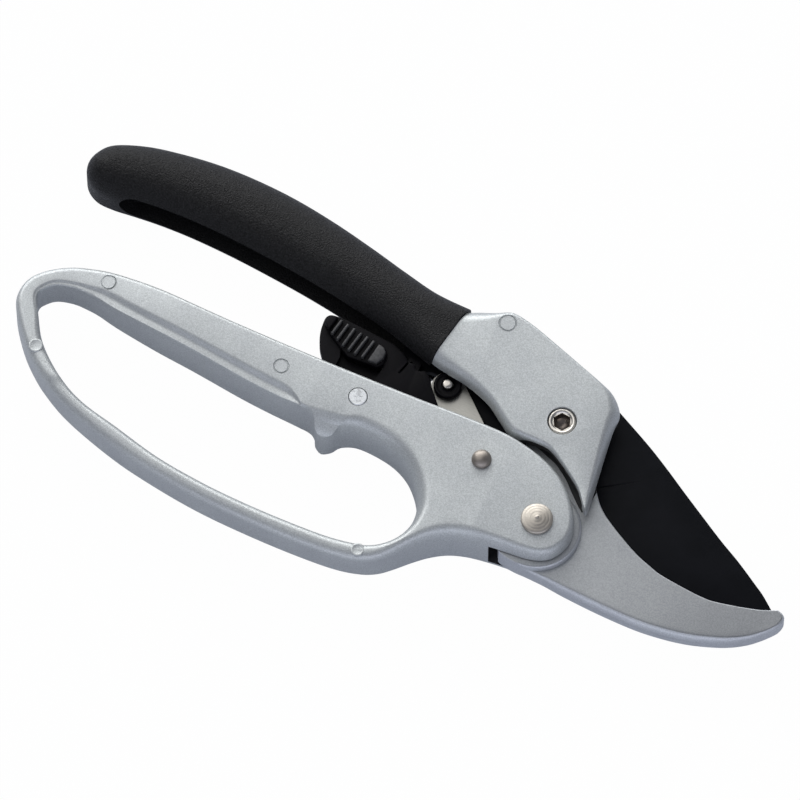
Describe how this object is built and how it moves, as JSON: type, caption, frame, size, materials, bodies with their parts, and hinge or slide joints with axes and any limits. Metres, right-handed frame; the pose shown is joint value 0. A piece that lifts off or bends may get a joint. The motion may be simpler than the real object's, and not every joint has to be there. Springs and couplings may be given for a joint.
{
  "type": "ratchet pruning shears",
  "caption": "One-handed ratchet pruning shears with a guard loop, bypass blade and hook, notched tang with a link, thumb lock and dipped grip.",
  "frame": {"origin": "on the main pivot's axis, at the plane that the shears lie on, which is the pivot nut's flat end", "axes": "+X along the tool to the blade tip, +Y across the tool to the gripped upper handle, +Z out of the front face"},
  "size_m": [0.2171, 0.0891, 0.0201],
  "materials": {
    "silver_paint": "satin silver paint on a die casting",
    "jaw_paint": "satin silver paint on a die casting",
    "dipped_vinyl": "fine grained matt vinyl dip",
    "coated_steel": "black non-stick coating on hardened steel",
    "nickel_plate": "bright nickel plate",
    "zinc_plate": "satin zinc plate",
    "black_nylon": "satin moulded nylon",
    "spring_steel": "drawn wire and strip"
  },
  "bodies": {
    "upper_body": {"upper_handle": "silver_paint", "upper_grip": "dipped_vinyl", "blade": "coated_steel", "pivot_screw": "nickel_plate", "pivot_nut": "zinc_plate", "pivot_sleeve": "zinc_plate", "tang_pin": "zinc_plate"},
    "hook_body": {"hook": "jaw_paint", "opening_spring": "spring_steel"},
    "lower_body": {"lower_handle": "silver_paint", "hook_rivet": "nickel_plate", "link_rivet": "nickel_plate", "lock_pin": "zinc_plate", "lock_spring": "spring_steel"},
    "link_body": {"link_plate_front": "zinc_plate", "link_plate_back": "zinc_plate", "link_pin": "nickel_plate", "link_roller": "black_nylon", "link_spring": "spring_steel"},
    "lock_body": {"lock_lever": "black_nylon"}
  },
  "joints": [
    {"name": "jaw_opening", "type": "hinge", "parent": "upper_body", "child": "hook_body", "pos_m": [0, 0, 0.009], "axis": [0, 0, -1], "range_deg": [0, 25]},
    {"name": "handle_pivot", "type": "hinge", "parent": "hook_body", "child": "lower_body", "pos_m": [0.0053, -0.0278, 0.009], "axis": [0, 0, 1], "range_deg": [0, 46]},
    {"name": "link_pivot", "type": "hinge", "parent": "lower_body", "child": "link_body", "pos_m": [-0.0145, -0.0185, 0.009], "axis": [0, 0, -1], "range_deg": [0, 60.5]},
    {"name": "lock_pivot", "type": "hinge", "parent": "lower_body", "child": "lock_body", "pos_m": [-0.0508, -0.0156, 0.009], "axis": [0, 0, -1], "range_deg": [0, 12]}
  ],
  "couplings": [
    {"joint": "handle_pivot", "follows": "jaw_opening", "ratio": 1.84},
    {"joint": "link_pivot", "follows": "jaw_opening", "ratio": 2.42}
  ]
}
